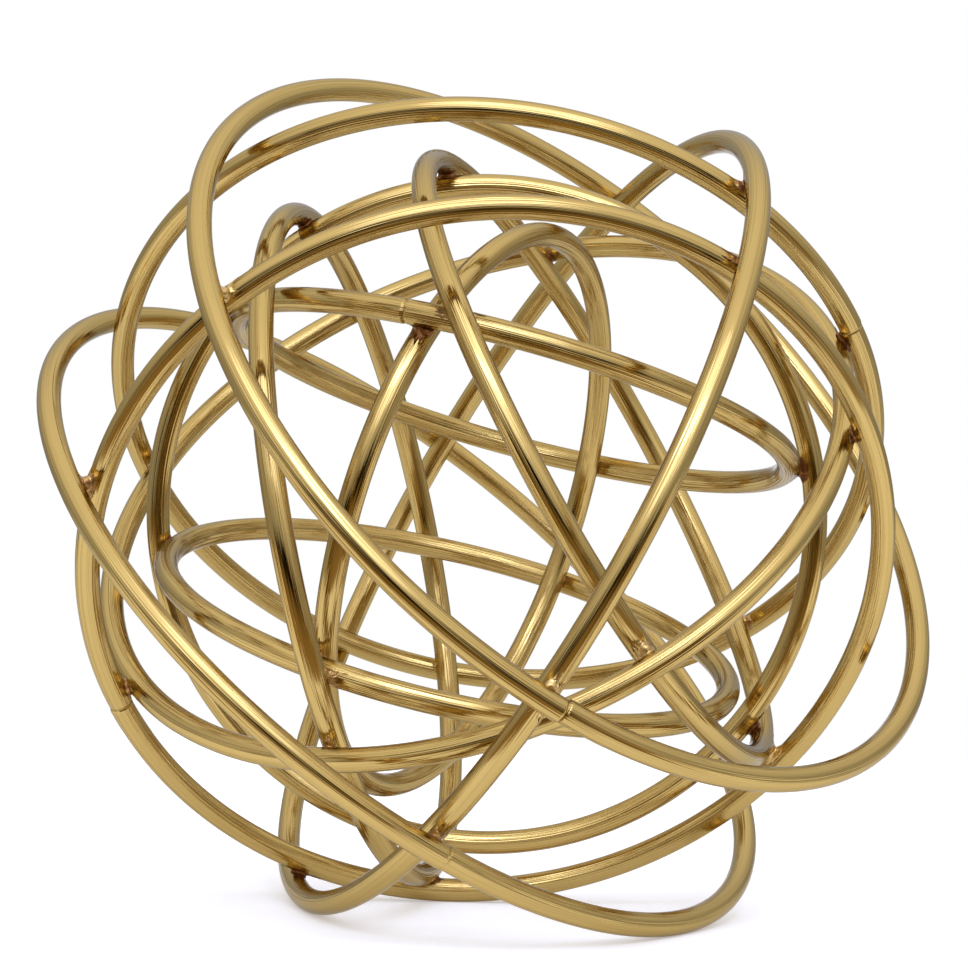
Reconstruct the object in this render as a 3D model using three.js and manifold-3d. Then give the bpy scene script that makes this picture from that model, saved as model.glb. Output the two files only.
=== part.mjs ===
// Wire sphere sculpture: a ball of twelve round-rod hoops, brazed together where they touch.
//
// The hoops make four cages, one inside the next. A cage is three hoops of nearly one size. Two
// of them, the pair, face nearly the same way, one on each side of the cage's middle. The third,
// the tie, passes inside both of them and crosses each one twice.
//
// Millimetres, +Z up. The sculpture is seen from the -Y side and stands on three of its hoops.
// The origin is on the table, under the middle of the ball.

import * as THREE from "three";
import { mergeVertices } from "three/addons/utils/BufferGeometryUtils.js";
import Module from "manifold-3d";

const wasm = await Module();
wasm.setup();

// Driving dimensions
const ROD = 5; // diameter of the rod
const OUTER_HOOP = 183; // diameter of the outer cage's tie, on the rod's centre line
const KISS = 0.1; // space left between two rods that touch
const FIT = 0.3; // space left between a joint's metal and its rods
const NEST_SLACK = 0.1; // how loosely each cage sits inside the one around it, on the radius
const FREE_GAP = 0.4; // least space between two rods that pass without a joint
const BRIDGE = 1.5; // widest space between two rods that a joint still fills
const FILLET = 2.2; // how far a joint's metal reaches out of the corner between its rods
const FILLET_RISE = 1.6; // how far it climbs the side of each rod
const SEAM_GAP = 0.3; // width of the butt seam that closes a hoop
const SEAM_SIDESTEP = 3; // distance along the hoop from its seam to the middle of the joint beside it
const SAG = 0.26; // most that a straight facet departs from the hoop's circle
const ROD_SIDES = 10; // flats round the rod

const TOUCH = ROD + KISS; // distance between the centre lines of two rods that touch

const FRONT = new THREE.Vector3(0, -1, 0);
const BACK = new THREE.Vector3(0, 1, 0);
const LEFT = new THREE.Vector3(-1, 0, 0);
const RIGHT = new THREE.Vector3(1, 0, 0);
const TOP = new THREE.Vector3(0, 0, 1);
const BOTTOM = new THREE.Vector3(0, 0, -1);
const SIDES = { front: FRONT, back: BACK, left: LEFT, right: RIGHT, top: TOP, bottom: BOTTOM };

// The cages, from the outside in. middle: where the cage's middle lies from the outer cage's.
// A hoop faces along its axis: heading turns from the viewer towards +X and lift rises from the
// level, in degrees. A pair hoop stands on the side of the middle that its sign gives. slip is how
// far it has slipped in its own plane, past the middle, and over is how much wider than the tie it
// was bent, if it was. A tie slides along its axis by a few millimetres. seam: the joint that the
// hoop's butt seam is beside.
const CAGES = [
  {
    name: "outer",
    middle: [0, 0, 0],
    hoops: [
      { name: "upper", heading: 47, lift: 39.5, side: 1, slip: 0, over: 1, seam: ["outer_tie", FRONT] },
      { name: "lower", heading: 58.5, lift: 47.5, side: -1, slip: 0, over: 1, seam: ["outer_tie", FRONT] },
      { name: "tie", heading: -74, lift: 27, slide: -4.5, seam: ["second_front", BOTTOM] },
    ],
  },
  {
    name: "second",
    middle: [-2, 0.5, -2],
    hoops: [
      { name: "back", heading: -8, lift: -43.5, side: -1, slip: -3, over: 2, seam: ["second_tie", RIGHT] },
      { name: "front", heading: 7.5, lift: -30.5, side: 1, slip: -4.5, seam: ["second_tie", LEFT] },
      { name: "tie", heading: -29.5, lift: 47, slide: 9, seam: ["third_right", FRONT] },
    ],
  },
  {
    name: "third",
    middle: [-2.5, -5.5, -4],
    hoops: [
      { name: "left", heading: 80, lift: 12.5, side: -1, slip: 7, over: 1.5, seam: ["third_tie", BOTTOM] },
      { name: "right", heading: 76, lift: 29.5, side: 1, slip: 7.5, seam: ["third_tie", TOP] },
      { name: "tie", heading: -3.5, lift: -5, slide: -14, seam: ["inner_lower", LEFT] },
    ],
  },
  {
    name: "inner",
    middle: [-4, -4, -2],
    hoops: [
      { name: "upper", heading: -58, lift: -74, side: -1, slip: -1.5, over: -1, seam: ["inner_tie", FRONT] },
      { name: "lower", heading: 40.5, lift: 72.5, side: -1, slip: 0, over: 1, seam: ["inner_tie", FRONT] },
      { name: "tie", heading: 67.5, lift: -15.5, slide: -0.5, seam: ["inner_upper", BACK] },
    ],
  },
];

// The brazed joints: two hoops, and which of their crossings are brazed.
const JOINTS = [
  ["outer_upper", "outer_tie", "front", "back"],
  ["outer_lower", "outer_tie", "front", "back"],
  ["second_back", "second_tie", "left", "right"],
  ["second_front", "second_tie", "left", "right"],
  ["third_left", "third_tie", "top", "bottom"],
  ["third_right", "third_tie", "top", "bottom"],
  ["inner_upper", "inner_tie", "front", "back"],
  ["inner_lower", "inner_tie", "front", "back"],
  ["outer_upper", "second_front", "left"],
  ["outer_lower", "second_front", "left"],
  ["outer_tie", "second_front", "top", "bottom"],
  ["outer_tie", "second_back", "top"],
  ["second_front", "third_left", "bottom"],
  ["second_front", "third_right", "bottom"],
  ["second_tie", "third_left", "front", "back"],
  ["second_tie", "third_right", "front", "back"],
  ["second_back", "third_left", "bottom"],
  ["second_back", "third_right", "bottom"],
  ["third_tie", "inner_upper", "right"],
  ["third_tie", "inner_lower", "left"],
  ["third_right", "inner_upper", "front"],
  ["third_left", "inner_lower", "front"],
];

// The hoops that the ball stands on
const FEET = ["outer_lower", "outer_tie", "second_front"];

const degrees = THREE.MathUtils.degToRad;

// Unit vector of a heading and a lift in degrees.
function facing(heading, lift) {
  const level = Math.cos(degrees(lift));
  return new THREE.Vector3(
    level * Math.sin(degrees(heading)),
    -level * Math.cos(degrees(heading)),
    Math.sin(degrees(lift)),
  );
}

// A cage's middle is at the same distance, the tie's radius, from every point of the tie. A pair
// hoop clears the tie by one rod when its own points are one rod further out from the middle,
// which a step along its axis brings about. The step allows for the hoop's slip, which runs square
// to the line through the two places where it crosses the tie.
function placeHoops() {
  const hoops = new Map();
  CAGES.forEach((cage, index) => {
    const tieRadius = OUTER_HOOP / 2 - index * (2 * TOUCH + NEST_SLACK);
    const tie = cage.hoops.find(({ name }) => name === "tie");
    const tieAxis = facing(tie.heading, tie.lift);
    for (const { name, heading, lift, side, slip, over = 0, slide, seam } of cage.hoops) {
      const axis = facing(heading, lift);
      const centre = new THREE.Vector3(...cage.middle);
      const radius = tieRadius + over / 2;
      if (name === "tie") {
        centre.addScaledVector(axis, slide);
      } else {
        const step = Math.sqrt((tieRadius + TOUCH) ** 2 - radius ** 2);
        const lean = axis.angleTo(tieAxis);
        const slipWay = axis.clone().cross(axis.clone().cross(tieAxis)).normalize();
        centre.addScaledVector(axis, side * Math.hypot(step, slip / Math.sin(lean)));
        centre.addScaledVector(axis, -slip / Math.tan(lean));
        centre.addScaledVector(slipWay, slip);
      }
      hoops.set(`${cage.name}_${name}`, { axis, centre, radius, seam });
    }
  });
  return hoops;
}

// Part of a vector that lies in a hoop's plane.
function inPlane(hoop, vector) {
  return vector.clone().addScaledVector(hoop.axis, -vector.dot(hoop.axis));
}

// The point of a hoop's centre line that is nearest to a given point.
function nearest(hoop, point) {
  const spoke = inPlane(hoop, point.clone().sub(hoop.centre));
  return spoke.setLength(hoop.radius).add(hoop.centre);
}

// Turns that bring a hoop lying level, with its first spoke along +X, to where it faces.
function turnOf(hoop) {
  return new THREE.Quaternion().setFromUnitVectors(TOP, hoop.axis);
}

// Point of a hoop's centre line at an angle from its first spoke.
function pointAt(hoop, angle) {
  const spoke = new THREE.Vector3(Math.cos(angle), Math.sin(angle), 0).multiplyScalar(hoop.radius);
  return spoke.applyQuaternion(turnOf(hoop)).add(hoop.centre);
}

// Closes in on the crossing of two hoops by stepping to the nearest point of one and then of the
// other until neither moves.
const HOMING_STEPS = 40;
function home(crossing) {
  for (let step = 0; step < HOMING_STEPS; step += 1) {
    crossing.pointB = nearest(crossing.hoopB, crossing.pointA);
    crossing.pointA = nearest(crossing.hoopA, crossing.pointB);
  }
  crossing.way = crossing.pointB.clone().sub(crossing.pointA);
  crossing.gap = crossing.way.length();
  crossing.way.normalize();
}

// All places where two hoops come closest to each other, from a walk round the first.
const WALK = 180;
function crossingsOf(hoopA, hoopB) {
  const points = Array.from({ length: WALK }, (_, step) => pointAt(hoopA, (2 * Math.PI * step) / WALK));
  const gaps = points.map((point) => nearest(hoopB, point).distanceTo(point));
  const found = [];
  points.forEach((pointA, step) => {
    const before = gaps[(step + WALK - 1) % WALK];
    const after = gaps[(step + 1) % WALK];
    if (gaps[step] < before && gaps[step] <= after) {
      const crossing = { hoopA, hoopB, pointA };
      home(crossing);
      found.push(crossing);
    }
  });
  return found;
}

// Of several crossings, the one furthest to a side.
function furthest(crossings, way) {
  return crossings.reduce((best, next) => (next.pointA.dot(way) > best.pointA.dot(way) ? next : best));
}

// Lists the crossings of every two hoops and marks those that are brazed with the joint's name.
function listCrossings(hoops) {
  const names = [...hoops.keys()];
  const crossings = [];
  names.forEach((nameA, index) => {
    for (const nameB of names.slice(index + 1)) {
      const pair = crossingsOf(hoops.get(nameA), hoops.get(nameB));
      pair.forEach((crossing) => Object.assign(crossing, { nameA, nameB }));
      for (const [first, second, ...ends] of JOINTS) {
        if ((first === nameA && second === nameB) || (first === nameB && second === nameA)) {
          ends.forEach((end) => {
            furthest(pair, SIDES[end]).joint = `braze_${first}_${second}_${end}`;
          });
        }
      }
      crossings.push(...pair);
    }
  });
  return crossings;
}

// How far a rigid hoop gives when it is pushed at a point: 1 for the shift of its centre, and up
// to 1 more for its turn about the centre.
function give(hoop, point, way) {
  return 1 + point.clone().sub(hoop.centre).cross(way).lengthSq() / hoop.radius ** 2;
}

// Pushes a rigid hoop at one of its points.
function push(hoop, point, way, force) {
  const lever = point.clone().sub(hoop.centre).cross(way);
  hoop.centre.addScaledVector(way, force);
  hoop.axis.addScaledVector(lever.cross(hoop.axis), force / hoop.radius ** 2).normalize();
}

// How much the space between two rods has to change: nothing where it is right, more where they
// foul each other, less where a joint couldn't bridge it. Each change goes a little past its limit.
const EASE = 0.01;
function misfit({ gap, joint }) {
  const least = joint ? TOUCH : ROD + FREE_GAP;
  const most = joint ? ROD + BRIDGE : Infinity;
  if (gap < least) {
    return least + EASE - gap;
  }
  return gap > most ? most - EASE - gap : 0;
}

// Fits the ball together as it is done on the bench: at every crossing that is wrong, both hoops
// are eased by the least movement that mends it, round and round until all of them are right. The
// hoops stay true circles throughout.
function fitTogether(crossings) {
  const ease = (crossing) => {
    home(crossing);
    const { hoopA, hoopB, pointA, pointB, way } = crossing;
    const force = misfit(crossing) / (give(hoopA, pointA, way) + give(hoopB, pointB, way));
    push(hoopA, pointA, way, -force);
    push(hoopB, pointB, way, force);
    return force !== 0;
  };
  let roundsLeft = 600;
  while (roundsLeft > 0 && crossings.filter(ease).length > 0) {
    roundsLeft -= 1;
  }
}

// The point of a hoop's rod that lies furthest along a direction.
function reach(hoop, way) {
  const spoke = inPlane(hoop, way).setLength(hoop.radius);
  return spoke.add(hoop.centre).addScaledVector(way, ROD / 2);
}

// Stands the ball on its three feet: turns it until their lowest points are level, then brings
// the table to Z = 0 and the middle of the ball over the origin.
function standUp(hoops, crossings) {
  const centres = [...hoops.values()].map(({ centre }) => centre);
  const places = centres.concat(crossings.map(({ pointA }) => pointA));
  const level = degrees(0.001);
  let lean = Infinity;
  while (lean > level) {
    const [first, second, third] = FEET.map((name) => reach(hoops.get(name), BOTTOM));
    const up = second.sub(first).cross(third.sub(first)).normalize();
    up.multiplyScalar(Math.sign(up.z));
    lean = up.angleTo(TOP);
    const turn = new THREE.Quaternion().setFromUnitVectors(up, TOP);
    places.forEach((place) => place.applyQuaternion(turn));
    hoops.forEach(({ axis }) => axis.applyQuaternion(turn));
  }
  const limit = (way) => Math.max(...[...hoops.values()].map((hoop) => reach(hoop, way).dot(way)));
  const middle = new THREE.Vector3(
    (limit(RIGHT) - limit(LEFT)) / 2,
    (limit(BACK) - limit(FRONT)) / 2,
    -limit(BOTTOM),
  );
  places.forEach((place) => place.sub(middle));
  crossings.forEach(home);
}

// The centre line of a hoop that lies level, as an arc from one lip of its seam to the other.
class HoopLine extends THREE.Curve {
  constructor(radius, start, sweep) {
    super();
    Object.assign(this, { radius, start, sweep });
  }

  getPoint(t, target = new THREE.Vector3()) {
    const angle = this.start + t * this.sweep;
    return target.set(this.radius * Math.cos(angle), this.radius * Math.sin(angle), 0);
  }
}

const BRASS = { color: 0xc2a06a, roughness: 0.34, metalness: 1 };
const FILLER = { color: 0xa98a5c, roughness: 0.5, metalness: 1 };

// One hoop: the rod's round section carried round the arc.
function makeHoop(name, hoop, joints) {
  const [partner, way] = hoop.seam;
  const shared = joints.filter(({ nameA, nameB }) => [nameA, nameB].includes(name));
  const beside = furthest(shared.filter(({ nameA, nameB }) => [nameA, nameB].includes(partner)), way);
  const spoke = beside.pointA.clone().sub(hoop.centre).applyQuaternion(turnOf(hoop).invert());
  const start = Math.atan2(spoke.y, spoke.x) + (SEAM_SIDESTEP + SEAM_GAP / 2) / hoop.radius;
  const line = new HoopLine(hoop.radius, start, 2 * Math.PI - SEAM_GAP / hoop.radius);
  const section = new THREE.Shape().absarc(0, 0, ROD / 2, 0, 2 * Math.PI);
  const geometry = new THREE.ExtrudeGeometry(section, {
    extrudePath: line,
    steps: Math.ceil(Math.PI / Math.acos(1 - SAG / hoop.radius)),
    curveSegments: ROD_SIDES / 2,
  });
  const mesh = new THREE.Mesh(geometry, new THREE.MeshStandardMaterial(BRASS));
  mesh.name = `hoop_${name}`;
  mesh.position.copy(hoop.centre);
  mesh.quaternion.copy(turnOf(hoop));
  return mesh;
}

// Closed three.js geometry as a solid that can be cut.
function solidOf(geometry) {
  geometry.deleteAttribute("normal");
  geometry.deleteAttribute("uv");
  const merged = mergeVertices(geometry);
  return new wasm.Manifold(
    new wasm.Mesh({
      numProp: 3,
      vertProperties: Float32Array.from(merged.attributes.position.array),
      triVerts: Uint32Array.from(merged.index.array),
    }),
  );
}

function geometryOf(solid) {
  const { vertProperties, triVerts } = solid.getMesh();
  const geometry = new THREE.BufferGeometry();
  geometry.setAttribute("position", new THREE.BufferAttribute(vertProperties, 3));
  geometry.setIndex(new THREE.BufferAttribute(triVerts, 1));
  geometry.computeVertexNormals();
  return geometry;
}

// Direction of a hoop's rod at one of its points.
function alongRod(hoop, point) {
  return hoop.axis.clone().cross(point.clone().sub(hoop.centre)).normalize();
}

// Round bar along a rod, one fit larger than it all round, that hollows the joint out for the rod.
const BAR_LENGTH = 8 * ROD;
const BAR_SIDES = 8;
function rodSpace(hoop, point, origin) {
  const radius = (ROD / 2 + FIT) / Math.cos(Math.PI / BAR_SIDES);
  const bar = new THREE.CylinderGeometry(radius, radius, BAR_LENGTH, BAR_SIDES);
  bar.applyQuaternion(new THREE.Quaternion().setFromUnitVectors(BACK, alongRod(hoop, point)));
  bar.translate(...point.clone().sub(origin).toArray());
  return solidOf(bar);
}

// One brazed joint: a flat drop of filler metal, hollowed out for its two rods, which leaves a
// saddle-shaped fillet all round the place where they touch. The drop is longer where the rods
// cross at a shallow angle, so that it fills the sharp corners too.
const DROP_AROUND = 8;
const DROP_RINGS = 4;
function makeJoint({ joint, hoopA, hoopB, pointA, pointB, way, gap }) {
  const origin = pointA.clone().add(pointB).multiplyScalar(0.5);
  const alongA = alongRod(hoopA, pointA);
  const alongB = alongRod(hoopB, pointB);
  if (alongA.dot(alongB) < 0) {
    alongB.negate();
  }
  const acute = alongA.clone().add(alongB).normalize();
  const halfAngle = alongA.angleTo(alongB) / 2;
  const pinch = Math.sqrt((ROD / 2 + FIT) ** 2 - (TOUCH / 2) ** 2);
  const drop = new THREE.SphereGeometry(1, DROP_AROUND, DROP_RINGS);
  drop.rotateX(Math.PI / 2);
  drop.scale(
    pinch / Math.sin(halfAngle) + FILLET,
    pinch / Math.cos(halfAngle) + FILLET,
    (gap - ROD) / 2 + FILLET_RISE,
  );
  drop.applyMatrix4(new THREE.Matrix4().makeBasis(acute, way.clone().cross(acute).normalize(), way));
  const spaceA = rodSpace(hoopA, pointA, origin);
  const spaceB = rodSpace(hoopB, pointB, origin);
  const fillet = solidOf(drop).subtract(spaceA).subtract(spaceB);
  const mesh = new THREE.Mesh(geometryOf(fillet), new THREE.MeshStandardMaterial(FILLER));
  mesh.name = joint;
  mesh.position.copy(origin);
  return mesh;
}

const hoops = placeHoops();
const crossings = listCrossings(hoops);
fitTogether(crossings);
standUp(hoops, crossings);
const joints = crossings.filter(({ joint }) => joint);

const sculpture = new THREE.Group();
sculpture.name = "wire_sphere_sculpture";
hoops.forEach((hoop, name) => sculpture.add(makeHoop(name, hoop, joints)));
joints.forEach((joint) => sculpture.add(makeJoint(joint)));

export default sculpture;
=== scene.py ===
# %% [markdown]
# A ball of twelve brass hoops, brazed to each other where they cross. The frame holds the exact
# hoops and braze joints of the part. This lesson dresses that frame: it measures each hoop, draws
# it again as a fine rod with its butt seam, runs braze into each crossing, and then gives both a
# brass finish under soft studio light. Loading the frame comes first, because every piece below
# takes its place from it.

# %% Load the frame
import math
import bpy
import numpy as np
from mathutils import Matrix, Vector


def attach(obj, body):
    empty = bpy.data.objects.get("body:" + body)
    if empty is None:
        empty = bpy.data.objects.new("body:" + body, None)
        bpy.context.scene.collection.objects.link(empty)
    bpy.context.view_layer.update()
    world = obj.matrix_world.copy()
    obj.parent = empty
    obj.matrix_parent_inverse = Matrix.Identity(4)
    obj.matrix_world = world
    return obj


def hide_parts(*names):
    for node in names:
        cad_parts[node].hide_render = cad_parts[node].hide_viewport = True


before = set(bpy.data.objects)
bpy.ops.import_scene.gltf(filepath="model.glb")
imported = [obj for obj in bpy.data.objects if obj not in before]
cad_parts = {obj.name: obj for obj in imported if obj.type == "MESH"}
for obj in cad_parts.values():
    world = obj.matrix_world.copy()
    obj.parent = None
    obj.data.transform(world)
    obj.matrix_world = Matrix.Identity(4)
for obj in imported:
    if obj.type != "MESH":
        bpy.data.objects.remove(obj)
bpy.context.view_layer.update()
HOOP_NODES = sorted(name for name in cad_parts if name.startswith("hoop_"))
BRAZE_NODES = sorted(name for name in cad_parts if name.startswith("braze_"))
print("frame:", len(HOOP_NODES), "hoops and", len(BRAZE_NODES), "braze joints")

# %% [markdown]
# The camera stands level with the middle of the ball, about two thirds of a metre in front of
# it, and leans a little to one side. A long lens keeps the hoops close to true circles. Its length
# could be typed in millimetres, but here it comes from a focal length in pixels and the width of
# the view, because that holds whatever the sensor's size is.

# %% Camera
IMAGE_SIDE = 968
FOCAL_PIXELS = 3082.2
CAMERA_PLACE = (0.00074, -0.65614, 0.08673)
LEVEL = 90  # degrees that lift a camera from looking straight down to looking straight ahead
CAMERA_PITCH, CAMERA_ROLL, CAMERA_HEADING = 0.33, -2.09, 0.25

camera_data = bpy.data.cameras.new("camera")
camera_data.lens = camera_data.sensor_width * FOCAL_PIXELS / IMAGE_SIDE
camera = bpy.data.objects.new("camera", camera_data)
camera.location = CAMERA_PLACE
camera_turns = (LEVEL + CAMERA_PITCH, CAMERA_ROLL, CAMERA_HEADING)
camera.rotation_euler = [math.radians(turn) for turn in camera_turns]
bpy.context.scene.collection.objects.link(camera)
bpy.context.scene.camera = camera
print("camera lens", round(camera_data.lens, 1), "mm")

# %% [markdown]
# Each hoop is a straight brass rod that was bent round until its two ends met. On a finished frame
# that means a circle: a centre, an axis and a radius, and one place where the ends meet. All four
# could be typed in, but then they would be written twice. So they are read back from the packed
# solid. The axis is the direction in which the solid is thinnest, the centre and radius come from a
# least-squares circle, and the seam is the narrowest step between two rings of the solid.

# %% Measure the hoops
MM_PER_METRE = 1000
FULL_TURN = 2 * math.pi
ROD_RADIUS = 0.0025
SAME_RING = 2e-4  # points whose turns are closer than this, in radians, lie on one ring


def node_points(node):
    """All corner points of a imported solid, as one array of rows."""
    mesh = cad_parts[node].data
    points = np.empty(len(mesh.vertices) * 3, np.float32)
    mesh.vertices.foreach_get("co", points)
    return points.reshape(-1, 3).astype(float)


def narrowest_step(turns):
    """The turn in the middle of the narrowest step between neighbouring rings, and its width."""
    turns = np.sort(turns)
    rings = turns[np.append(True, np.diff(turns) > SAME_RING)]
    steps = np.diff(np.append(rings, rings[0] + FULL_TURN))
    narrow = int(np.where(steps > SAME_RING, steps, np.inf).argmin())
    return rings[narrow] + steps[narrow] / 2, steps[narrow]


def measure_hoop(node):
    """Least-squares circle: x^2 + y^2 = 2ax + 2by + c in the plane that the hoop lies in.

    The points lie round the rod, so on average their squared distance from the hoop's centre is the
    squared radius plus half the rod's squared radius, which comes off again.
    """
    points = node_points(node)
    middle = points.mean(0)
    across, along = np.linalg.svd(points - middle, full_matrices=False)[2][:2]
    flat = np.stack([(points - middle) @ across, (points - middle) @ along], 1)
    rows = np.column_stack([2 * flat, np.ones(len(flat))])
    a, b, c = np.linalg.lstsq(rows, (flat ** 2).sum(1), rcond=None)[0]
    radius = math.sqrt(c + a * a + b * b - ROD_RADIUS ** 2 / 2)
    seam, seam_width = narrowest_step(np.arctan2(flat[:, 1] - b, flat[:, 0] - a))
    return {"centre": middle + a * across + b * along, "radius": radius,
            "across": across, "along": along, "axis": np.cross(across, along),
            "seam": seam, "seam_gap": seam_width * radius}


hoops = {node: measure_hoop(node) for node in HOOP_NODES}
for node, hoop in hoops.items():
    radius_mm, seam_mm = hoop["radius"] * MM_PER_METRE, hoop["seam_gap"] * MM_PER_METRE
    print(node, "radius", round(radius_mm, 2), "mm, seam", round(seam_mm, 2), "mm")

# %% [markdown]
# A braze joint sits where two hoops cross. Its node gives the neighbourhood and, in its name, the
# two hoops. The exact spot is the pair of points, one on each hoop, that are closest together. A
# formula for that is long, so both hoops are sampled near the node instead, all distances are worked
# out as one array, and the smallest one wins.

# %% Find the crossings
SEARCH_ARC = 0.016
SEARCH_STEPS = 601


def hoop_outward(hoop, turn):
    """The direction from the centre at that turn: (cos turn, sin turn) in the hoop's own plane."""
    turn = np.asarray(turn)[..., None]
    return np.cos(turn) * hoop["across"] + np.sin(turn) * hoop["along"]


def hoop_point(hoop, turn):
    """Centre plus radius times the outward direction."""
    return hoop["centre"] + hoop["radius"] * hoop_outward(hoop, turn)


def hoop_tangent(hoop, turn):
    """The direction in which the rod runs at that turn: (-sin turn, cos turn) in the hoop's plane."""
    return -math.sin(turn) * hoop["across"] + math.cos(turn) * hoop["along"]


def turn_towards(hoop, place):
    """The turn at which the hoop passes closest to a place."""
    offset = place - hoop["centre"]
    return math.atan2(offset @ hoop["along"], offset @ hoop["across"])


def find_crossing(node):
    """Of all pairs of sampled points on the two hoops, the pair with the least distance."""
    words = node.split("_")
    names = ["hoop_" + "_".join(words[1:3]), "hoop_" + "_".join(words[3:5])]
    pair = [hoops[name] for name in names]
    place = node_points(node).mean(0)
    reach = np.linspace(-SEARCH_ARC, SEARCH_ARC, SEARCH_STEPS)
    turns = [turn_towards(hoop, place) + reach / hoop["radius"] for hoop in pair]
    points = [hoop_point(hoop, turn) for hoop, turn in zip(pair, turns)]
    distances = np.linalg.norm(points[0][:, None] - points[1][None], axis=2)
    first, second = np.unravel_index(distances.argmin(), distances.shape)
    ends = [points[0][first], points[1][second]]
    return {"hoops": names, "middle": (ends[0] + ends[1]) / 2,
            "normal": (ends[1] - ends[0]) / distances.min(), "gap": distances.min() - 2 * ROD_RADIUS,
            "runs": [hoop_tangent(pair[0], turns[0][first]), hoop_tangent(pair[1], turns[1][second])]}


crossings = {node: find_crossing(node) for node in BRAZE_NODES}
gaps = np.array([crossing["gap"] for crossing in crossings.values()]) * MM_PER_METRE
print("crossings:", len(gaps), "gaps from", gaps.min().round(2), "to", gaps.max().round(2), "mm")

# %% [markdown]
# No two joints came out alike under the torch. Some were left with a pale nub of filler, some were
# burnt dark, and some only tinted the rods orange. Chance could choose among these, but the joints
# that show most are each known, so a table says how they look. fill is how widely the filler blends
# the two rods, in millimetres. oxide is how dark its skin is, from 0 to 1. heat is how strongly the
# rods are tinted beside it. nub is where a nub of spare filler set: right, back and up from the
# crossing, in millimetres.

# %% How each joint looks
PLAIN_JOINT = {"fill": 1.0, "oxide": 0.28, "heat": 0.45, "nub": (0, 0, 0)}
JOINT_LOOKS = {
    "outer_upper_outer_tie_front": {"fill": 1.3, "oxide": 0.05, "heat": 0.2, "nub": (0.3, 0, 2.3)},
    "outer_lower_outer_tie_front": {"fill": 1.2, "oxide": 0.30, "heat": 0.9},
    "outer_upper_second_front_left": {"fill": 1.2, "oxide": 0.05, "heat": 0.3, "nub": (2.2, 0, -0.4)},
    "outer_lower_second_front_left": {"fill": 1.0, "oxide": 0.35, "heat": 0.9, "nub": (1.7, 0, 0.7)},
    "inner_upper_inner_tie_front": {"fill": 2.1, "oxide": 0.50, "heat": 0.6, "nub": (1.4, -0.8, -2.5)},
    "second_tie_third_right_front": {"fill": 1.3, "oxide": 0.15, "heat": 0.7, "nub": (-1.8, 0, 2.2)},
    "second_front_second_tie_left": {"fill": 1.4, "oxide": 0.40, "heat": 0.7, "nub": (2.0, 0, 0.8)},
    "second_back_second_tie_right": {"fill": 1.4, "oxide": 0.62, "heat": 0.8, "nub": (-1.8, 0, 0.3)},
    "second_front_second_tie_right": {"fill": 1.2, "oxide": 0.45, "heat": 0.8},
    "outer_tie_second_front_bottom": {"fill": 1.4, "oxide": 0.60, "heat": 0.8, "nub": (0.5, 0, 1.8)},
    "outer_tie_second_front_top": {"fill": 1.0, "oxide": 0.50, "heat": 0.9},
    "outer_tie_second_back_top": {"fill": 0.9, "oxide": 0.40, "heat": 0.9},
    "third_left_third_tie_top": {"fill": 1.2, "oxide": 0.60, "heat": 0.6},
    "third_right_third_tie_top": {"fill": 1.4, "oxide": 0.55, "heat": 0.5, "nub": (-0.8, 0, 2.2)},
    "third_right_third_tie_bottom": {"fill": 1.2, "oxide": 0.60, "heat": 0.6},
    "second_front_third_right_bottom": {"fill": 1.4, "oxide": 0.10, "heat": 0.4, "nub": (-2.4, 0, 0.5)},
    "second_front_third_left_bottom": {"fill": 1.2, "oxide": 0.60, "heat": 0.5},
    "second_tie_third_right_back": {"fill": 1.4, "oxide": 0.60, "heat": 0.6},
    "third_tie_inner_upper_right": {"fill": 1.3, "oxide": 0.55, "heat": 0.6},
    "third_tie_inner_lower_left": {"fill": 1.2, "oxide": 0.55, "heat": 0.5},
    "inner_upper_inner_tie_back": {"fill": 1.2, "oxide": 0.55, "heat": 0.5},
    "third_left_inner_lower_front": {"fill": 0.4, "oxide": 0.30, "heat": 0.6},
    "inner_lower_inner_tie_back": {"fill": 1.2, "oxide": 0.55, "heat": 0.5},
}
for node, crossing in crossings.items():
    crossing.update(PLAIN_JOINT)
    crossing.update(JOINT_LOOKS.get(node.removeprefix("braze_"), {}))
print("joints with a look of their own:", len(JOINT_LOOKS))

# %% [markdown]
# Rods and braze are both round all the way about, so both can be worked out as a grid of points.
# Blender's own rings and balls could be bent into shape instead, but on a grid every point follows
# from a formula. Every row of the grid goes once round and closes on itself. The rows follow each
# other either all the way back to the first one, as on a hoop, or from one pole to another, as on a
# drop of braze. Two helpers turn that grid into quads, close the poles with fans of triangles, and
# store each vertex's own values under a name that a material can read.

# %% Grid to mesh
def grid_faces(rows, around, has_poles):
    """Quads between neighbours of the grid, and a fan of triangles from each pole to its nearest row."""
    corner = np.arange(rows * around).reshape(rows, around)
    beside = np.roll(corner, -1, axis=1)
    ahead = np.roll(corner, -1, axis=0)
    quads = np.stack([corner, beside, np.roll(ahead, -1, axis=1), ahead], 2)
    if not has_poles:
        return quads.reshape(-1, 4).tolist()
    first_pole = np.full(around, rows * around)
    last_pole = first_pole + 1
    fans = np.concatenate([np.stack([first_pole, beside[0], corner[0]], 1),
                           np.stack([last_pole, corner[-1], beside[-1]], 1)])
    return quads[:-1].reshape(-1, 4).tolist() + fans.tolist()


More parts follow.
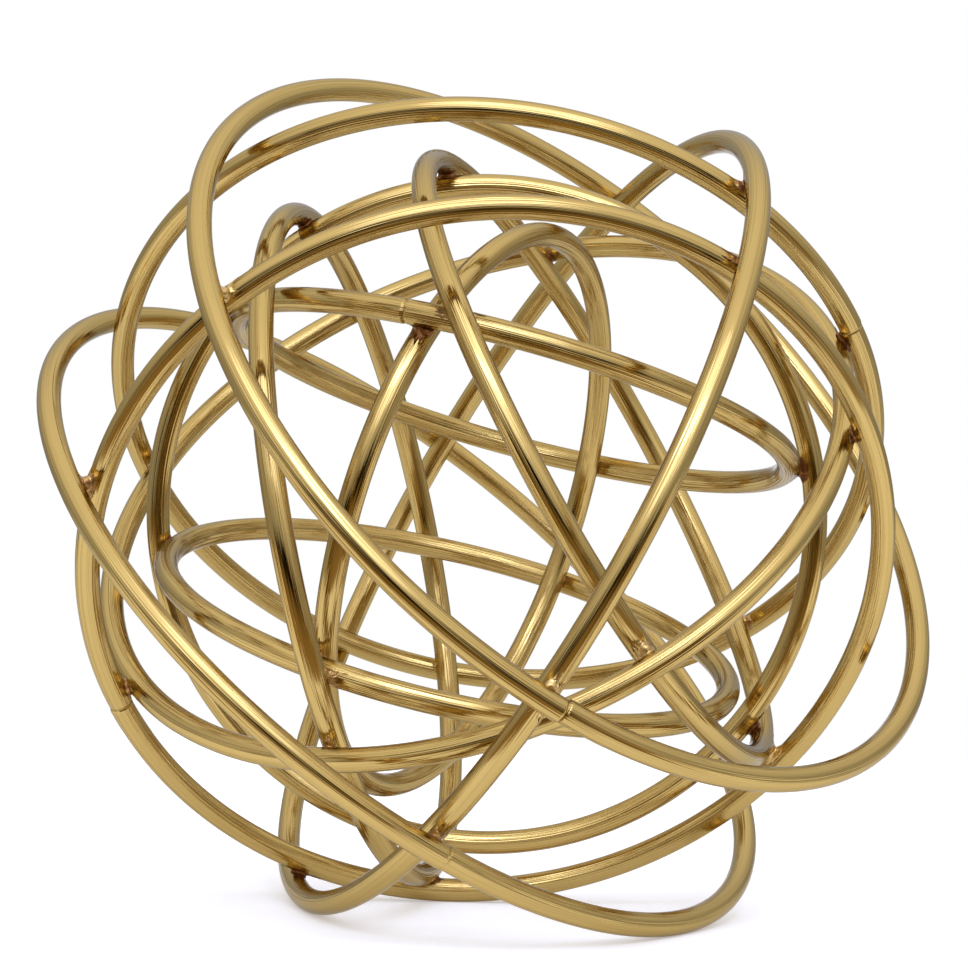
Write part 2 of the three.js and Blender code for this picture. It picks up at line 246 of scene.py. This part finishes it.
def add_piece(name, grid, poles, values, material):
    """A smooth mesh of a (rows, around, 3) grid: its vertices are the grid's points, then the poles."""
    rows, around = grid.shape[:2]
    points = grid.reshape(-1, 3).tolist() + [list(pole) for pole in poles]
    mesh = bpy.data.meshes.new(name)
    mesh.from_pydata(points, [], grid_faces(rows, around, len(poles) > 0))
    for value_name, (kind, array) in values.items():
        field = "vector" if kind == "FLOAT_VECTOR" else "value"
        attribute = mesh.attributes.new(value_name, kind, "POINT")
        attribute.data.foreach_set(field, np.ascontiguousarray(array, np.float32).ravel())
    mesh.polygons.foreach_set("use_smooth", np.ones(len(mesh.polygons), bool))
    mesh.materials.append(material)
    mesh.update()
    piece = bpy.data.objects.new(name, mesh)
    bpy.context.scene.collection.objects.link(piece)
    return piece


print("helpers ready: grid_faces, add_piece")

# %% [markdown]
# A finish is a tree of shader nodes. It could be wired up by hand in the node editor. In code, one
# small function that adds a node, sets it and links it is enough, and a finish then reads from top
# to bottom like a recipe. Colours are written as sRGB hex values, as in any paint program, but
# Blender works with linear light, so a second function turns one into the other.

# %% Colours and nodes
def linear(hex_colour):
    """Each sRGB channel c becomes ((c + 0.055) / 1.055) ** 2.4, with alpha 1."""
    channels = np.array([int(hex_colour[i:i + 2], 16) for i in (1, 3, 5)]) / 255
    return (*(((channels + 0.055) / 1.055) ** 2.4), 1.0)


def add_node(tree, kind, settings=None, inputs=None):
    """One node, its settings by name, and its inputs as constants or as links from other sockets."""
    node = tree.nodes.new(kind)
    for name, value in (settings or {}).items():
        setattr(node, name, value)
    for name, value in (inputs or {}).items():
        if isinstance(value, bpy.types.NodeSocket):
            tree.links.new(value, node.inputs[name])
        else:
            node.inputs[name].default_value = value
    return node


def new_material(name):
    """A material with an empty node tree, ready for its nodes."""
    material = bpy.data.materials.new(name)
    material.use_nodes = True
    material.node_tree.nodes.clear()
    return material, material.node_tree


print("helpers ready: linear, add_node, new_material")

# %% [markdown]
# The rods are brass, and the torch left its marks beside each joint. Tinted patches could be painted
# by hand, but a value on each rod's mesh, called heat, puts them where the joints are: below nought
# the brass is pale with solder, at nought it is plain, and above it goes from orange to burnt. A noise
# makes the edge of the tint ragged, and a colour ramp turns the sum into a colour.

# %% Heat tint on brass
SOLDER_PALE = "#efe0b4"
BRASS = "#bda05f"
BRASS_TINT = "#9a5a22"
BRASS_BURNT = "#3a200e"
HEAT_TONES = ((0.35, BRASS), (0.55, BRASS), (0.80, BRASS_TINT), (1.0, BRASS_BURNT))
HEAT_PALEST, HEAT_BURNT = -0.9, 1.1  # the heat at either end of the ramp
TINT_SCALE = 9 / 0.050  # nine patches of tint in 50 mm of rod
TINT_RAGGED = 0.5  # how far the noise pushes the edge of the tint

satin_brass, tree = new_material("satin_brass")
heat = add_node(tree, "ShaderNodeAttribute", {"attribute_name": "heat"})
spot = add_node(tree, "ShaderNodeTexCoord")
mottle = add_node(tree, "ShaderNodeTexNoise", {}, {
    "Vector": spot.outputs["Object"], "Scale": TINT_SCALE, "Detail": 3.0, "Roughness": 0.6})
ragged = add_node(tree, "ShaderNodeMath", {"operation": "MULTIPLY_ADD"}, {
    0: mottle.outputs["Fac"], 1: TINT_RAGGED, 2: -TINT_RAGGED / 2})
scorch = add_node(tree, "ShaderNodeMath", {"operation": "ADD"}, {
    0: heat.outputs["Fac"], 1: ragged.outputs["Value"]})
scorch_share = add_node(tree, "ShaderNodeMapRange", {}, {
    "Value": scorch.outputs["Value"], "From Min": HEAT_PALEST, "From Max": HEAT_BURNT})
tones = add_node(tree, "ShaderNodeValToRGB", {}, {"Fac": scorch_share.outputs["Result"]})
tones.color_ramp.elements.remove(tones.color_ramp.elements[1])
tones.color_ramp.elements[0].color = linear(SOLDER_PALE)
for stop, colour in HEAT_TONES:
    tones.color_ramp.elements.new(stop).color = linear(colour)
print("tones from pale to burnt:", len(tones.color_ramp.elements))

# %% [markdown]
# The rods were drawn through a die, which leaves fine lines along them, and then rubbed with a fine
# pad: a satin finish. A picture of brushed metal could be wrapped round each rod, but a noise that is
# stretched along the rod draws such lines on any length. The same noise darkens the lines, dents them
# and roughens the metal beside them, so that all three agree.

# %% Satin brass
# What this gives the eye: a gold colour with a soft bright streak along each rod, thin darker lines
# beside it, and a warm brown tint where the torch heated the metal.
BRASS_EDGE = "#d8d5cc"  # the colour that the rod mirrors at a grazing angle
LINE_LOW, LINE_HIGH = 0.30, 0.70  # values of the noise at which the rod is smoothest and roughest
SMOOTHEST, ROUGHEST = 0.07, 0.13
LINE_DARK, LINE_CLEAR = 0.30, 0.48  # values at which a line is darkest, and no longer shows
LINE_SHADE = 0.80
LINE_BUMP, LINE_HEIGHT = 0.7, 0.00028  # how strongly the lines show as dents, and their depth

grain = add_node(tree, "ShaderNodeAttribute", {"attribute_name": "grain"})
lines = add_node(tree, "ShaderNodeTexNoise", {}, {
    "Vector": grain.outputs["Vector"], "Scale": 1.0, "Detail": 2.0, "Roughness": 0.6})
line_tone = add_node(tree, "ShaderNodeMapRange", {}, {
    "Value": lines.outputs["Fac"], "From Min": LINE_DARK, "From Max": LINE_CLEAR, "To Min": LINE_SHADE})
lined = add_node(tree, "ShaderNodeMix", {"data_type": "RGBA", "blend_type": "MULTIPLY"}, {
    "Factor": 1.0, "A": tones.outputs["Color"], "B": line_tone.outputs["Result"]})
satin = add_node(tree, "ShaderNodeMapRange", {}, {
    "Value": lines.outputs["Fac"], "From Min": LINE_LOW, "From Max": LINE_HIGH,
    "To Min": SMOOTHEST, "To Max": ROUGHEST})
drawn_lines = add_node(tree, "ShaderNodeBump", {}, {
    "Height": lines.outputs["Fac"], "Strength": LINE_BUMP, "Distance": LINE_HEIGHT})
shader = add_node(tree, "ShaderNodeBsdfPrincipled", {}, {
    "Base Color": lined.outputs["Result"], "Metallic": 1.0,
    "Roughness": satin.outputs["Result"], "Normal": drawn_lines.outputs["Normal"],
    "Specular Tint": linear(BRASS_EDGE)})
add_node(tree, "ShaderNodeOutputMaterial", {}, {"Surface": shader.outputs["BSDF"]})
print("material:", satin_brass.name, "with", len(tree.nodes), "nodes")

# %% [markdown]
# The bent rod's ends meet at a butt seam. On most hoops it was filed flush and can't be found, but
# on a few it shows: as a dark groove where the ends don't quite line up, or as a pale line of solder.
# A seam could be painted on, but a real groove also catches the light. So the table gives each seam's
# groove and its sideways step, in millimetres, and its tint, where minus is pale and plus is burnt.

# %% How each seam looks
SEAM_WIDTH = 0.00028
SEAM_STEP_REACH = 0.006  # how far from the seam an end is still bent out of line
SEAM_LEAN = 0.6  # how much of the step also goes along the hoop's axis
FLUSH_SEAM = {"groove": 0.0, "step": 0.0, "tint": 0.0}
SEAM_LOOKS = {
    "hoop_outer_upper": {"groove": 0.45, "step": 0.35, "tint": 0.9},
    "hoop_outer_lower": {"groove": 0.10, "step": 0.20, "tint": -1.0},
    "hoop_second_back": {"groove": 0.15, "step": 0.20, "tint": -1.0},
    "hoop_second_front": {"groove": 0.20, "step": 0.20, "tint": 0.4},
    "hoop_inner_upper": {"groove": 0.15, "step": 0.20, "tint": 0.4},
}
print("seams that show:", len(SEAM_LOOKS), "of", len(HOOP_NODES))

# %% [markdown]
# Two values ride on each rod's mesh for the brass to read. The first is the torch's heat, which
# fades with the distance from each joint. The second is where the drawn lines run: a place along the
# rod and a place round it, each measured in line lengths and line widths. A UV map could hold that,
# but it would have an edge along the rod, and a circle has none.

# %% Heat and grain
RING_SIDES = 32
SECTION = np.linspace(0, FULL_TURN, RING_SIDES, endpoint=False)
HEAT_REACH = 0.0048
GRAIN_LENGTH = 0.120  # the stretch of rod on which a line comes and goes
# The real lines are a few hundredths of a millimetre wide, too fine to show in a picture of the
# whole ball, so they are drawn half a millimetre wide.
GRAIN_WIDTH = 0.00050


def heat_at(points, node):
    """Sum over the hoop's joints of strength times exp(-(distance / reach) squared)."""
    near = [crossing for crossing in crossings.values() if node in crossing["hoops"]]
    middles = np.array([crossing["middle"] for crossing in near])
    strengths = np.array([crossing["heat"] for crossing in near])
    distances = np.linalg.norm(points[:, None] - middles[None], axis=2)
    return (strengths * np.exp(-(distances / HEAT_REACH) ** 2)).sum(1)


def grain_at(from_seam):
    """Distance from the seam over the line length, and a circle of rod radius over the line width."""
    lengthwise = np.repeat(np.abs(from_seam), RING_SIDES) / GRAIN_LENGTH
    around = np.tile(SECTION, len(from_seam))
    grain_radius = ROD_RADIUS / GRAIN_WIDTH
    return np.stack([lengthwise, grain_radius * np.cos(around), grain_radius * np.sin(around)], 1)


print("drawn lines:", round(FULL_TURN * ROD_RADIUS / GRAIN_WIDTH), "line widths round the rod")

# %% [markdown]
# A hoop is a round section carried along a circle. Blender's torus would give the ring, but not its
# seam. So the section is carried by formula: the path steps aside at the seam, and the section shrinks
# there. Rows of the grid lie closer together near the seam, so that a groove of a few tenths of a
# millimetre still has its shape.

# %% Hoops
RING_STEPS = 420
SEAM_ROWS_MM = np.array([0.05, 0.12, 0.2, 0.28, 0.36, 0.46, 0.6, 0.8, 1.1, 1.5])
SEAM_ROWS_END = 0.002


def hoop_rows(length):
    """Distances along the hoop: crowded on both sides of the seam, and even the rest of the way."""
    crowd = SEAM_ROWS_MM / MM_PER_METRE
    even = np.linspace(SEAM_ROWS_END, length - SEAM_ROWS_END, RING_STEPS)
    return np.concatenate([crowd, even, length - crowd[::-1]])


def rod_grid(hoop, look, walked, from_seam, dip):
    """Path plus size times (cos s outward + sin s axis), where the size dips at the seam.

    The path is the centre plus radius times outward. Near the seam it steps aside by half the step,
    one way before the seam and the other way behind it, and the step fades along the rod.
    """
    outward = hoop_outward(hoop, hoop["seam"] + walked / hoop["radius"])
    half_step = look["step"] / MM_PER_METRE / 2
    aside = half_step * np.sign(from_seam) * np.exp(-np.abs(from_seam) / SEAM_STEP_REACH)
    path = hoop["centre"] + (hoop["radius"] + aside)[:, None] * outward
    path = path + (SEAM_LEAN * aside)[:, None] * hoop["axis"]
    ring = np.cos(SECTION)[None, :, None] * outward[:, None]
    ring = ring + np.sin(SECTION)[None, :, None] * hoop["axis"]
    size = ROD_RADIUS - look["groove"] / MM_PER_METRE * dip
    return path[:, None] + size[:, None, None] * ring


def make_hoop(node):
    """One rod, its seam dip as exp(-(distance from the seam / seam width) squared)."""
    hoop = hoops[node]
    look = {**FLUSH_SEAM, **SEAM_LOOKS.get(node, {})}
    length = FULL_TURN * hoop["radius"]
    walked = hoop_rows(length)
    from_seam = np.where(walked > length / 2, walked - length, walked)
    dip = np.exp(-(from_seam / SEAM_WIDTH) ** 2)
    grid = rod_grid(hoop, look, walked, from_seam, dip)
    heat = heat_at(grid.reshape(-1, 3), node) + np.repeat(look["tint"] * dip, RING_SIDES)
    values = {"grain": ("FLOAT_VECTOR", grain_at(from_seam)), "heat": ("FLOAT", heat)}
    piece = add_piece(node.removeprefix("hoop_") + "_rod", grid, [], values, satin_brass)
    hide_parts(node)
    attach(piece, "root")
    return piece


rods = [make_hoop(node) for node in HOOP_NODES]
print("rods:", len(rods), "with", len(rods[0].data.polygons), "faces each")

# %% [markdown]
# Braze is a brass alloy that melts below the rods and wets them, so it climbs into the notch where
# two rods cross and sets with a hollow face. The rods' own finish could serve for it too, but the
# joints would then vanish. So it has one of its own: flux and oxide burn on in flecks, and one noise
# decides where the skin is dark, where it is rough and where it is pitted.

# %% Braze filler
# What this gives the eye: a skin duller than the rods, pale gold where it is clean, and brown to
# black where flux and oxide burnt on.
FILLER_PALE = "#dcbb78"
FILLER_BROWN = "#80522a"
FILLER_BLACK = "#2a1c12"
OXIDE_TONES = ((0.5, FILLER_BROWN), (1.0, FILLER_BLACK))
FLECK_SCALE = 9 / 0.010  # nine flecks in 10 mm
FLECK_SWING = 0.9  # how far the flecks push the oxide up and down
CLEAN_ROUGHNESS, BURNT_ROUGHNESS = 0.28, 0.6
PIT_BUMP, PIT_DEPTH = 0.3, 0.0004

braze_filler, tree = new_material("brass_braze_filler")
oxide = add_node(tree, "ShaderNodeAttribute", {"attribute_name": "oxide"})
spot = add_node(tree, "ShaderNodeTexCoord")
flecks = add_node(tree, "ShaderNodeTexNoise", {}, {
    "Vector": spot.outputs["Object"], "Scale": FLECK_SCALE, "Detail": 3.0, "Roughness": 0.65})
patchy = add_node(tree, "ShaderNodeMath", {"operation": "MULTIPLY_ADD"}, {
    0: flecks.outputs["Fac"], 1: FLECK_SWING, 2: -FLECK_SWING / 2})
burnt = add_node(tree, "ShaderNodeMath", {"operation": "ADD", "use_clamp": True}, {
    0: oxide.outputs["Fac"], 1: patchy.outputs["Value"]})
tones = add_node(tree, "ShaderNodeValToRGB", {}, {"Fac": burnt.outputs["Value"]})
tones.color_ramp.elements.remove(tones.color_ramp.elements[1])
tones.color_ramp.elements[0].color = linear(FILLER_PALE)
for stop, colour in OXIDE_TONES:
    tones.color_ramp.elements.new(stop).color = linear(colour)
skin = add_node(tree, "ShaderNodeMapRange", {}, {
    "Value": burnt.outputs["Value"], "To Min": CLEAN_ROUGHNESS, "To Max": BURNT_ROUGHNESS})
pits = add_node(tree, "ShaderNodeBump", {}, {
    "Height": flecks.outputs["Fac"], "Strength": PIT_BUMP, "Distance": PIT_DEPTH})
shader = add_node(tree, "ShaderNodeBsdfPrincipled", {}, {
    "Base Color": tones.outputs["Color"], "Metallic": 1.0,
    "Roughness": skin.outputs["Result"], "Normal": pits.outputs["Normal"]})
add_node(tree, "ShaderNodeOutputMaterial", {}, {"Surface": shader.outputs["BSDF"]})
print("material:", braze_filler.name)

# %% [markdown]
# Wet filler pulls itself into a smooth hollow skin that meets both rods without an edge. It could be
# sculpted, but a smooth minimum has just that shape: it follows the nearer of two distances, and
# rounds off the corner where they are alike. So the distances to both rods are blended, and the skin
# lies where the blend is nought. These helpers give the blend, the distances, and the rays from the
# middle of the crossing along which the skin is looked for.

# %% Distances and rays
FILLET_SIDES = 80
FILLET_ROWS = 55
POLE_SHARE = 0.97  # how near the first and the last row of rays come to the poles
ROW_CROWDING = 1.8


def smooth_least(first, second, width):
    """min(a, b) - h^2 width / 4, where h = 1 - |a - b| / width and is never less than nought."""
    overlap = np.maximum(1 - np.abs(first - second) / width, 0)
    return np.minimum(first, second) - overlap ** 2 * width / 4


def distances_to_rods(crossing, places):
    """For each rod, sqrt(offset squared - offset along the rod squared) less the rod radius."""
    distances = []
    for way, run in zip((-1, 1), crossing["runs"]):
        offset = places - way * (ROD_RADIUS + crossing["gap"] / 2) * crossing["normal"]
        along = offset @ run
        distances.append(np.sqrt((offset ** 2).sum(3) - along ** 2) - ROD_RADIUS)
    return distances


def fillet_rays(crossing, turn):
    """Directions on a sphere, with rows crowded towards the plane that lies between the two rods."""
    normal = crossing["normal"]
    side = crossing["runs"][0] - (crossing["runs"][0] @ normal) * normal
    side = side / np.linalg.norm(side)
    front = np.cross(normal, side)
    share = np.linspace(-POLE_SHARE, POLE_SHARE, FILLET_ROWS)
    rise = math.pi / 2 * np.sign(share) * np.abs(share) ** ROW_CROWDING
    level = np.cos(turn)[:, None] * side + np.sin(turn)[:, None] * front
    return np.cos(rise)[:, None, None] * level[None] + np.sin(rise)[:, None, None] * normal


print("rays to each fillet:", FILLET_SIDES * FILLET_ROWS)

# %% [markdown]
# No torch lays filler evenly, so the width of the blend goes up and down a little round the joint.
# It does so by a few waves, whose heights are drawn by a seeded generator: the same number gives the
# same waves on each run. The second helper finds the skin on a ray. It could be worked out exactly,
# but trying the ray in small steps and drawing a line between the two that lie on either side of the
# skin is close enough, and does all rays at once.

# %% Ripple and skin
FILLET_REACH = 0.0060
RAY_STEPS = 181
RIPPLE_WAVES = 4
FIRST_SEED = 100


def ripple_round(turn, number):
    """Half the sum of p cos(n turn) + q sin(n turn) for n from 1 up, with p and q drawn from -1 to 1."""
    heights = np.random.default_rng(FIRST_SEED + number).uniform(-1, 1, (RIPPLE_WAVES, 2))
    order = np.arange(1, RIPPLE_WAVES + 1)[:, None]
    return (heights[:, :1] * np.cos(order * turn) + heights[:, 1:] * np.sin(order * turn)).sum(0) / 2


def skin_on_rays(field, steps):
    """Along each ray, where the field first rises past nought, on a straight line between two steps."""
    last = np.clip((field > 0).argmax(2), 1, RAY_STEPS - 1)[..., None]
    before = np.take_along_axis(field, last - 1, 2)[..., 0]
    after = np.take_along_axis(field, last, 2)[..., 0]
    part = np.clip(before / (before - after), 0, 1)
    return steps[last[..., 0] - 1] + part * steps[1]


print("steps on a ray:", RAY_STEPS, "of", round(FILLET_REACH / (RAY_STEPS - 1) * MM_PER_METRE, 3), "mm")

# %% [markdown]
# Each fillet is the skin that its rays meet first. A ray that runs into a rod stops just under the
# rod's skin, where it can't be seen. A nub of spare filler could be a piece of its own, but filler
# runs together, so the nub is a small ball that is blended in by the same rule.

# %% Fillets
SINK = 0.00012  # how far under a rod's skin a ray stops
FILM = 0.000012  # how far the filler's thin edges lie under the rods' skin
NUB_RADIUS = 0.0009
NUB_BLEND = 0.0010
RIPPLE = 0.12  # how much of the filler's width the waves add or take


def make_fillet(node, number):
    """Along each ray, the first distance at which the blended distance to both rods is nought."""
    crossing = crossings[node]
    turn = np.linspace(0, FULL_TURN, FILLET_SIDES, endpoint=False)
    rays = fillet_rays(crossing, turn)
    steps = np.linspace(0, FILLET_REACH, RAY_STEPS)
    places = rays[:, :, None] * steps[:, None]
    to_rods = distances_to_rods(crossing, places)
    # Filler that goes into the gap between the rods is missing from the corners.
    fill = crossing["fill"] / (1 + crossing["gap"] * MM_PER_METRE) / MM_PER_METRE
    blend = 2 * crossing["gap"] + fill * (1 + RIPPLE * ripple_round(turn, number))[None, :, None]
    field = smooth_least(to_rods[0], to_rods[1], blend) + FILM
    nub = np.array(crossing["nub"]) / MM_PER_METRE
    nub = nub - (nub @ crossing["normal"]) * crossing["normal"]
    if np.linalg.norm(nub) > 0:
        to_nub = np.linalg.norm(places - nub, axis=3) - NUB_RADIUS
        field = smooth_least(field, to_nub, NUB_BLEND)
    inside_rod = -SINK - np.minimum(to_rods[0], to_rods[1])
    out = skin_on_rays(np.maximum(field, inside_rod), steps)
    grid = crossing["middle"] + out[..., None] * rays
    pole = (crossing["gap"] / 2 + SINK) * crossing["normal"]
    poles = [crossing["middle"] - pole, crossing["middle"] + pole]
    oxide = np.full(out.size + len(poles), crossing["oxide"])
    piece = add_piece(node.removeprefix("braze_") + "_braze", grid, poles,
                      {"oxide": ("FLOAT", oxide)}, braze_filler)
    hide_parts(node)
    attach(piece, "root")
    return piece


fillets = [make_fillet(node, number) for number, node in enumerate(BRAZE_NODES)]
print("fillets:", len(fillets), "with", len(fillets[0].data.polygons), "faces each")

# %% [markdown]
# The ball stands on a plain pale sheet. More light would make the sheet white, but the brass too
# bright. So part of the sheet's light is its own, seen by the camera and in reflections, and the
# rest is light that falls on it, which keeps the ball's soft shadow. In reflections the glow fades
# from the front of the ball to the back, so that the undersides of the rods don't turn white.

# %% Floor
FLOOR_HALF = 0.45
FLOOR_PALE = "#e9e8e6"
FLOOR_GLOW = 0.32
FADE_START, FADE_END = -0.06, 0.08
FADED_GLOW = 0.2

floor_paper, tree = new_material("pale_paper_floor")
path = add_node(tree, "ShaderNodeLightPath")
spot = add_node(tree, "ShaderNodeTexCoord")
parts = add_node(tree, "ShaderNodeSeparateXYZ", {}, {"Vector": spot.outputs["Object"]})
fade = add_node(tree, "ShaderNodeMapRange", {}, {
    "Value": parts.outputs["Y"], "From Min": FADE_START, "From Max": FADE_END,
    "To Min": 1.0, "To Max": FADED_GLOW})
in_metal = add_node(tree, "ShaderNodeMath", {"operation": "MULTIPLY"}, {
    0: path.outputs["Is Glossy Ray"], 1: fade.outputs["Result"]})
straight = add_node(tree, "ShaderNodeMath", {"operation": "MAXIMUM"}, {
    0: path.outputs["Is Camera Ray"], 1: path.outputs["Is Transmission Ray"]})
seen = add_node(tree, "ShaderNodeMath", {"operation": "MAXIMUM"}, {
    0: straight.outputs["Value"], 1: in_metal.outputs["Value"]})
glow = add_node(tree, "ShaderNodeMath", {"operation": "MULTIPLY"}, {
    0: seen.outputs["Value"], 1: FLOOR_GLOW})
paper = add_node(tree, "ShaderNodeBsdfDiffuse", {}, {"Color": linear(FLOOR_PALE)})
lit = add_node(tree, "ShaderNodeEmission", {}, {"Strength": glow.outputs["Value"]})
both = add_node(tree, "ShaderNodeAddShader", {}, {0: paper.outputs["BSDF"], 1: lit.outputs["Emission"]})
add_node(tree, "ShaderNodeOutputMaterial", {}, {"Surface": both.outputs["Shader"]})

floor_mesh = bpy.data.meshes.new("floor")
corners = np.array([[-1, -1, 0], [1, -1, 0], [1, 1, 0], [-1, 1, 0]]) * FLOOR_HALF
floor_mesh.from_pydata(corners.tolist(), [], [(0, 1, 2, 3)])
floor_mesh.materials.append(floor_paper)
floor = bpy.data.objects.new("floor", floor_mesh)
bpy.context.scene.collection.objects.link(floor)
print("floor:", 2 * FLOOR_HALF, "m wide")

# %% [markdown]
# Polished metal shows the room that it stands in, so the room matters as much as the colour. A room
# could be modelled, but here the world's background is one, worked out from the direction that a ray
# takes: grey walls, a lighter ceiling, some more light from the upper front, and a white backdrop
# straight behind the ball. The camera sees plain white.

# %% Studio room
ROOM_TINT = (0.98, 1.0, 1.12, 1)
ROOM_LEVEL, CEILING_LEVEL = 0.50, 1.27
FRONT_LEVEL = 0.40  # what the upper front adds
FRONT_LOW, FRONT_HIGH = 0.05, 0.40  # the rise of a ray at which that begins, and is full
FRONT_FULL = -0.7  # how far to the front a ray points where it is full
BACKDROP_LEVEL = 1.0
BACKDROP_EDGE, BACKDROP_FULL = 0.97, 0.995  # how far to the back a ray points there
SMOOTH_STEP = {"interpolation_type": "SMOOTHSTEP"}

world = bpy.data.worlds.new("studio")
world.use_nodes = True
bpy.context.scene.world = world
tree = world.node_tree
tree.nodes.clear()
path = add_node(tree, "ShaderNodeLightPath")
direction = add_node(tree, "ShaderNodeTexCoord")
parts = add_node(tree, "ShaderNodeSeparateXYZ", {}, {"Vector": direction.outputs["Generated"]})
walls = add_node(tree, "ShaderNodeMapRange", SMOOTH_STEP, {
    "Value": parts.outputs["Z"], "To Min": ROOM_LEVEL, "To Max": CEILING_LEVEL})
upper = add_node(tree, "ShaderNodeMapRange", SMOOTH_STEP, {
    "Value": parts.outputs["Z"], "From Min": FRONT_LOW, "From Max": FRONT_HIGH})
ahead = add_node(tree, "ShaderNodeMapRange", SMOOTH_STEP, {
    "Value": parts.outputs["Y"], "From Max": FRONT_FULL, "To Max": FRONT_LEVEL})
front = add_node(tree, "ShaderNodeMath", {"operation": "MULTIPLY_ADD"}, {
    0: upper.outputs["Result"], 1: ahead.outputs["Result"], 2: walls.outputs["Result"]})
behind = add_node(tree, "ShaderNodeMapRange", SMOOTH_STEP, {
    "Value": parts.outputs["Y"], "From Min": BACKDROP_EDGE, "From Max": BACKDROP_FULL})
level = add_node(tree, "ShaderNodeMix", {"data_type": "FLOAT"}, {
    "Factor": behind.outputs["Result"], "A": front.outputs["Value"], "B": BACKDROP_LEVEL})
room = add_node(tree, "ShaderNodeBackground", {}, {
    "Color": ROOM_TINT, "Strength": level.outputs["Result"]})
white = add_node(tree, "ShaderNodeBackground", {}, {"Color": (1, 1, 1, 1), "Strength": 1.0})
straight = add_node(tree, "ShaderNodeMath", {"operation": "MAXIMUM"}, {
    0: path.outputs["Is Camera Ray"], 1: path.outputs["Is Transmission Ray"]})
choice = add_node(tree, "ShaderNodeMixShader", {}, {
    0: straight.outputs["Value"], 1: room.outputs["Background"], 2: white.outputs["Background"]})
add_node(tree, "ShaderNodeOutputWorld", {}, {"Surface": choice.outputs["Shader"]})
print("room level", ROOM_LEVEL, "to", CEILING_LEVEL)

# %% [markdown]
# The bright streak along each rod is the picture of a lamp. A point of light would draw a thin hard
# line, so a wide softbox hangs over the camera instead, and a smaller, brighter one just in front of
# it gives the streak its core. Both face the ball. They are set by the brightness that metal mirrors,
# because that is what shows, and their power follows from it.

# %% Softboxes
BALL_MIDDLE = np.array([0, 0, 0.088])
DAYLIGHT = (0.85, 1.0, 1.55)  # bluish, so that the streak on the yellow metal comes out pale
SOFTBOXES = {
    "softbox_over_camera": {"place": (0, -0.66, 0.70), "width": 0.72, "height": 0.66, "radiance": 1.5},
    "softbox_core": {"place": (0.02, -0.62, 0.64), "width": 0.40, "height": 0.12, "radiance": 5.5},
}


def add_softbox(name, place, width, height, radiance):
    """A flat lamp that faces the ball. Its power is radiance times pi times its area."""
    lamp = bpy.data.lights.new(name, "AREA")
    lamp.color = DAYLIGHT
    lamp.shape = "RECTANGLE"
    lamp.size = width
    lamp.size_y = height
    lamp.energy = radiance * math.pi * width * height
    softbox = bpy.data.objects.new(name, lamp)
    softbox.location = place
    backwards = Vector(np.asarray(place) - BALL_MIDDLE)
    softbox.rotation_euler = backwards.to_track_quat("Z", "Y").to_euler()
    softbox.visible_camera = False
    bpy.context.scene.collection.objects.link(softbox)


for name, settings in SOFTBOXES.items():
    add_softbox(name, **settings)
print("softboxes:", len(SOFTBOXES))

# %% [markdown]
# Under each bright streak runs a thin dark line. It could be painted on the rods, but it would then
# stay put when the ball is turned. So it is a reflection too: a felt card lies on the floor in front
# of the ball, brown next to it and black further out, with its far edge bent up. The camera doesn't
# see it, and it neither shades nor tints the floor.

# %% Dark card
FELT_WARM = "#ffd48a"
FELT_BLACK_AT, FELT_BROWN_AT = -0.46, -0.14
FELT_BLACK, FELT_BROWN = 0.01, 0.32
CARD_HALF = 0.6
CARD_PROFILE = [(-0.60, 0.110), (-0.56, 0.004), (-0.13, 0.004)]  # back and up, far edge first

dark_felt, tree = new_material("brown_to_black_felt_card")
spot = add_node(tree, "ShaderNodeTexCoord")
parts = add_node(tree, "ShaderNodeSeparateXYZ", {}, {"Vector": spot.outputs["Object"]})
shade = add_node(tree, "ShaderNodeMapRange", {}, {
    "Value": parts.outputs["Y"], "From Min": FELT_BLACK_AT, "From Max": FELT_BROWN_AT,
    "To Min": FELT_BLACK, "To Max": FELT_BROWN})
warmth = add_node(tree, "ShaderNodeMix", {"data_type": "RGBA", "blend_type": "MULTIPLY"}, {
    "Factor": 1.0, "A": shade.outputs["Result"], "B": linear(FELT_WARM)})
felt = add_node(tree, "ShaderNodeBsdfDiffuse", {}, {"Color": warmth.outputs["Result"]})
add_node(tree, "ShaderNodeOutputMaterial", {}, {"Surface": felt.outputs["BSDF"]})

card_mesh = bpy.data.meshes.new("dark_card")
card_points = [(x, y, z) for y, z in CARD_PROFILE for x in (-CARD_HALF, CARD_HALF)]
card_mesh.from_pydata(card_points, [], [(0, 1, 3, 2), (2, 3, 5, 4)])
card_mesh.materials.append(dark_felt)
card = bpy.data.objects.new("dark_card", card_mesh)
bpy.context.scene.collection.objects.link(card)
card.visible_camera = False
card.visible_diffuse = False
card.visible_shadow = False
print("dark card:", 2 * CARD_HALF, "m wide")

# %% [markdown]
# The picture is shown as it was computed, with the Standard view and no grading.

# %% Standard view
bpy.context.scene.view_settings.view_transform = "Standard"
